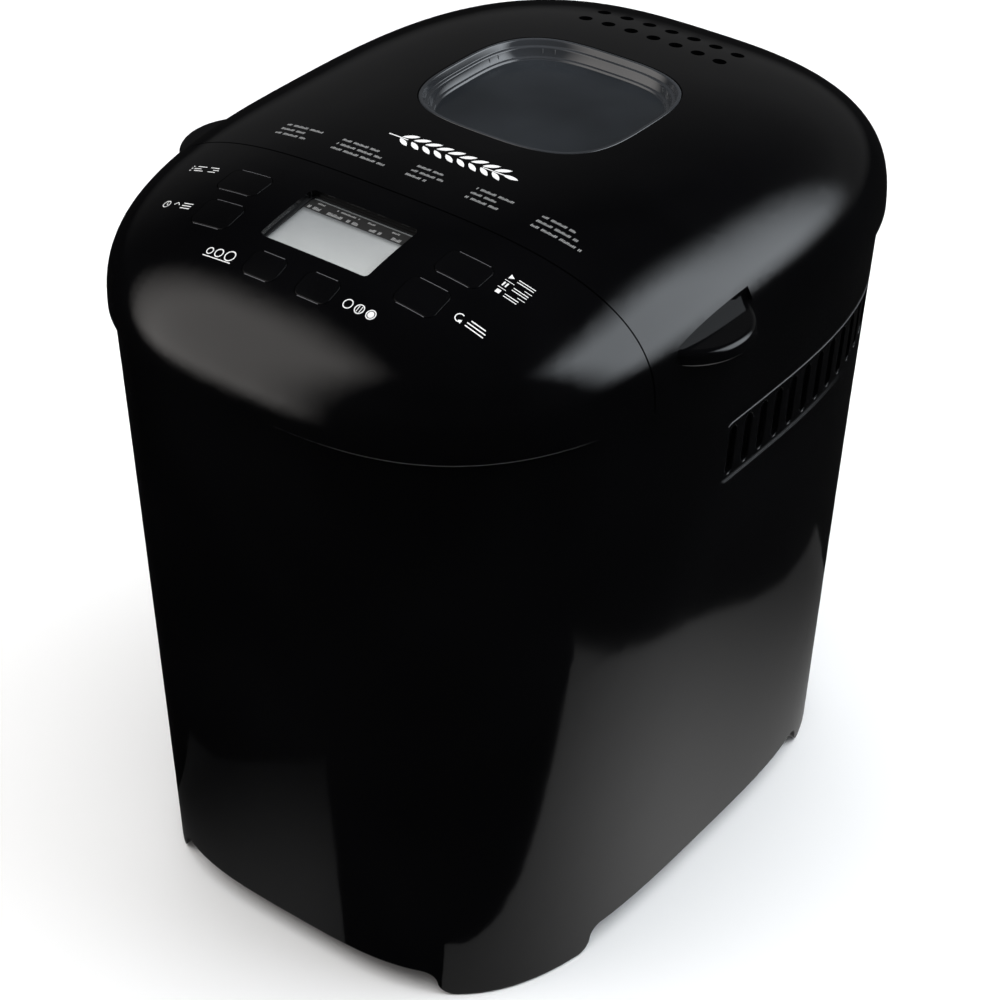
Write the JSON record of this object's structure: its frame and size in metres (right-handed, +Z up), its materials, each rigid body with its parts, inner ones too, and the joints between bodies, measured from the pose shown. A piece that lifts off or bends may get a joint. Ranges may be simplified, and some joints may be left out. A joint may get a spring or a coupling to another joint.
{
  "type": "bread machine",
  "caption": "Domed countertop bread machine with hinged lid, smoked window, control panel with display and push keys, heated chamber, lift-out pan, paddle and belt drive.",
  "frame": {"origin": "centre of the machine's footprint, on the surface its foot pads stand on", "axes": "+Z up, -Y towards the user at the control side, +X to the user's right, lid hinge at +Y"},
  "size_m": [0.258, 0.308, 0.3099],
  "materials": {
    "shell_gloss": "high gloss black",
    "button_gloss": "gloss black",
    "trim_black": "satin black",
    "inner_black": "matte black",
    "smoked_window": "smoked, polished",
    "clear_glass": "clear",
    "display_clear": "clear",
    "display_grey": "silver grey liquid crystal panel",
    "circuit_green": "solder mask",
    "switch_dark": "matte",
    "fixing_steel": "zinc plated",
    "sheet_steel": "galvanised sheet",
    "chamber_steel": "aluminised sheet",
    "trim_steel": "brushed",
    "element_steel": "heat-darkened",
    "ceramic_white": "glazed insulator",
    "pan_coating": "dark non-stick coating",
    "bare_aluminium": "cast",
    "shaft_steel": "ground",
    "bush_brass": "sintered bronze",
    "pulley_nylon": "natural nylon",
    "belt_rubber": "ribbed rubber",
    "pad_rubber": "soft rubber",
    "seal_silicone": "grey silicone",
    "motor_steel": "laminated steel",
    "handle_chrome": "polished wire",
    "hinge_metal": "black"
  },
  "bodies": {
    "machine": {"body_shell": "shell_gloss", "base_plate": "inner_black", "foot_pads": "pad_rubber", "top_deck": "inner_black", "control_cover": "shell_gloss", "display_bezel": "trim_black", "display_lens": "display_clear", "lcd_module": "display_grey", "control_board": "circuit_green", "tact_switches": "switch_dark", "case_screws": "fixing_steel", "chassis_plate": "sheet_steel", "oven_chamber": "chamber_steel", "oven_trim_ring": "trim_steel", "chamber_standoffs": "fixing_steel", "heating_element": "element_steel", "element_brackets": "fixing_steel", "element_terminals": "ceramic_white", "temperature_sensor": "shaft_steel", "pan_clips": "sheet_steel", "thermal_fuse": "ceramic_white", "heat_shield": "sheet_steel", "power_board": "circuit_green", "transformer": "motor_steel", "cord_gland": "inner_black", "drive_housing": "bare_aluminium", "drive_bushes": "bush_brass", "motor_body": "motor_steel", "motor_capacitor": "switch_dark", "drive_belt": "belt_rubber", "hinge_brackets": "hinge_metal"},
    "lid": {"lid_cover": "shell_gloss", "lid_liner": "inner_black", "lid_window": "smoked_window", "inner_glass": "clear_glass", "window_gasket": "seal_silicone", "lid_seal": "seal_silicone", "hinge_arms": "hinge_metal", "hinge_pins": "shaft_steel", "lid_screws": "fixing_steel"},
    "pan": {"bread_pan": "pan_coating", "pan_base_ring": "bare_aluminium", "pan_bush": "bare_aluminium", "bail_ears": "sheet_steel"},
    "bail": {"bail_handle": "handle_chrome"},
    "pan_drive": {"pan_shaft": "shaft_steel", "pan_coupling": "bare_aluminium"},
    "paddle": {"kneading_paddle": "pan_coating"},
    "oven_drive": {"drive_shaft": "shaft_steel", "drive_coupling": "bare_aluminium", "drive_pulley": "pulley_nylon"},
    "motor": {"motor_rotor": "shaft_steel", "motor_pulley": "bare_aluminium"},
    "menu_key": {"menu_button": "button_gloss"},
    "start_key": {"start_button": "button_gloss"},
    "time_key": {"time_button": "button_gloss"},
    "cycle_key": {"cycle_button": "button_gloss"},
    "weight_key": {"weight_button": "button_gloss"},
    "colour_key": {"colour_button": "button_gloss"}
  },
  "joints": [
    {"name": "lid_hinge", "type": "hinge", "parent": "machine", "child": "lid", "pos_m": [0, 0.1495, 0.2625], "axis": [-1, 0, 0], "range_deg": [0, 85]},
    {"name": "pan_lift", "type": "slide", "parent": "machine", "child": "pan", "axis": [0, 0, 1], "range_m": [0, 0.03]},
    {"name": "bail_hinge", "type": "hinge", "parent": "pan", "child": "bail", "pos_m": [0, 0.0255, 0.209], "axis": [-1, 0, 0], "range_deg": [0, 40]},
    {"name": "pan_shaft_spin", "type": "hinge", "parent": "pan", "child": "pan_drive", "pos_m": [0, 0.0255, 0.08], "axis": [0, 0, 1], "continuous": true},
    {"name": "paddle_lift", "type": "slide", "parent": "pan_drive", "child": "paddle", "axis": [0, 0, 1], "range_m": [0, 0.022]},
    {"name": "drive_spin", "type": "hinge", "parent": "machine", "child": "oven_drive", "pos_m": [0, 0.0255, 0.03], "axis": [0, 0, 1], "continuous": true},
    {"name": "motor_spin", "type": "hinge", "parent": "machine", "child": "motor", "pos_m": [0, -0.092, 0.07], "axis": [0, 0, 1], "continuous": true},
    {"name": "menu_press", "type": "slide", "parent": "machine", "child": "menu_key", "axis": [0, 0, -1], "range_m": [0, 0.0012], "stiffness_N_per_m": 800, "springref_m": -0.0005},
    {"name": "start_press", "type": "slide", "parent": "machine", "child": "start_key", "axis": [0, 0, -1], "range_m": [0, 0.0012], "stiffness_N_per_m": 800, "springref_m": -0.0005},
    {"name": "time_press", "type": "slide", "parent": "machine", "child": "time_key", "axis": [0, 0, -1], "range_m": [0, 0.0012], "stiffness_N_per_m": 800, "springref_m": -0.0005},
    {"name": "cycle_press", "type": "slide", "parent": "machine", "child": "cycle_key", "axis": [0, 0, -1], "range_m": [0, 0.0012], "stiffness_N_per_m": 800, "springref_m": -0.0005},
    {"name": "weight_press", "type": "slide", "parent": "machine", "child": "weight_key", "axis": [0, 0, -1], "range_m": [0, 0.0012], "stiffness_N_per_m": 800, "springref_m": -0.0005},
    {"name": "colour_press", "type": "slide", "parent": "machine", "child": "colour_key", "axis": [0, 0, -1], "range_m": [0, 0.0012], "stiffness_N_per_m": 800, "springref_m": -0.0005}
  ],
  "couplings": [
    {"joint": "pan_shaft_spin", "follows": "drive_spin", "ratio": 1},
    {"joint": "motor_spin", "follows": "drive_spin", "ratio": 7.3846}
  ]
}
